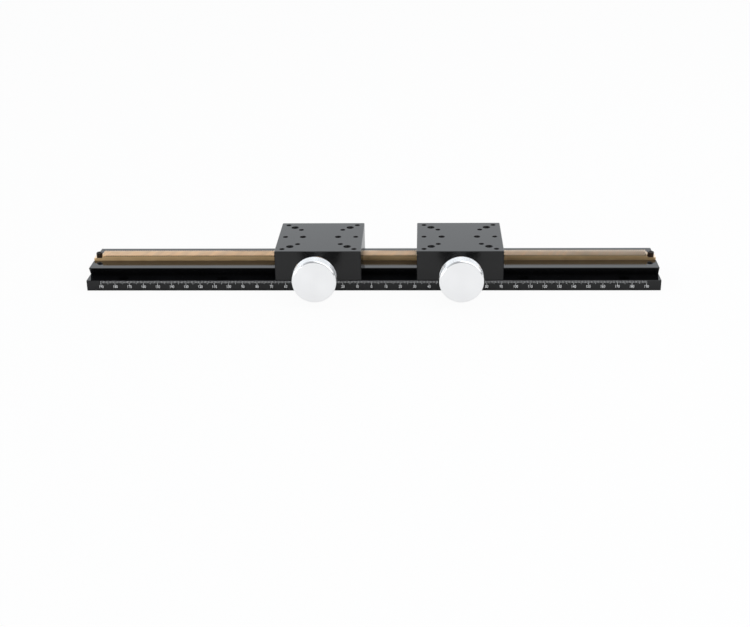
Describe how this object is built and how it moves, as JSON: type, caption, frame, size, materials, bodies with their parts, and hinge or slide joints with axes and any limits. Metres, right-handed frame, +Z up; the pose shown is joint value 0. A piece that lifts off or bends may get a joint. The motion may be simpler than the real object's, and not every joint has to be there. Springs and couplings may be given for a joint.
{
  "type": "manual dovetail slide table",
  "caption": "Long black dovetail rail with a brass helical rack let into its top, square tapped carriages driven along it by silver knobs and pinions, and counterbored ledges.",
  "frame": {"origin": "centre of the rail's underside, below the zero of the scale", "axes": "+X along the rail, to the right when the knobs face the viewer; +Y away from the knobs; +Z up"},
  "size_m": [0.4, 0.0942, 0.0348],
  "materials": {
    "black_anodised": "satin black anodised",
    "brass": "machined brass",
    "bronze": "plain bearing bronze",
    "ground_steel": "ground steel",
    "black_oxide_steel": "black oxide",
    "turned_aluminium": "bright turned, knurled rim"
  },
  "bodies": {
    "rail": {"dovetail_rail": "black_anodised", "gear_rack": "brass", "rack_end_screws": "black_oxide_steel"},
    "left_carriage": {"left_carriage_block": "black_anodised", "left_gib_strip": "bronze", "left_gib_screws": "black_oxide_steel", "left_front_bush": "bronze", "left_rear_bush": "bronze", "left_thrust_washer": "ground_steel", "left_rear_washer": "ground_steel"},
    "left_drive": {"left_pinion_shaft": "ground_steel", "left_retaining_ring": "black_oxide_steel", "left_knob": "turned_aluminium", "left_knob_set_screw": "black_oxide_steel"},
    "right_carriage": {"right_carriage_block": "black_anodised", "right_gib_strip": "bronze", "right_gib_screws": "black_oxide_steel", "right_front_bush": "bronze", "right_rear_bush": "bronze", "right_thrust_washer": "ground_steel", "right_rear_washer": "ground_steel"},
    "right_drive": {"right_pinion_shaft": "ground_steel", "right_retaining_ring": "black_oxide_steel", "right_knob": "turned_aluminium", "right_knob_set_screw": "black_oxide_steel"}
  },
  "joints": [
    {"name": "left_slide", "type": "slide", "parent": "rail", "child": "left_carriage", "axis": [1, 0, 0], "range_m": [-0.153, 0.00675]},
    {"name": "left_knob_turn", "type": "hinge", "parent": "left_carriage", "child": "left_drive", "pos_m": [-0.037, 0, 0.01979], "axis": [0, 1, 0], "range_deg": [-2746.86, 122.14]},
    {"name": "right_slide", "type": "slide", "parent": "rail", "child": "right_carriage", "axis": [1, 0, 0], "range_m": [-0.03125, 0.1285]},
    {"name": "right_knob_turn", "type": "hinge", "parent": "right_carriage", "child": "right_drive", "pos_m": [0.0615, 0, 0.01979], "axis": [0, 1, 0], "range_deg": [-561.84, 2307.16]}
  ],
  "couplings": [
    {"joint": "left_knob_turn", "follows": "left_slide", "rad_per_m": 313.23},
    {"joint": "right_knob_turn", "follows": "right_slide", "rad_per_m": 313.23}
  ]
}
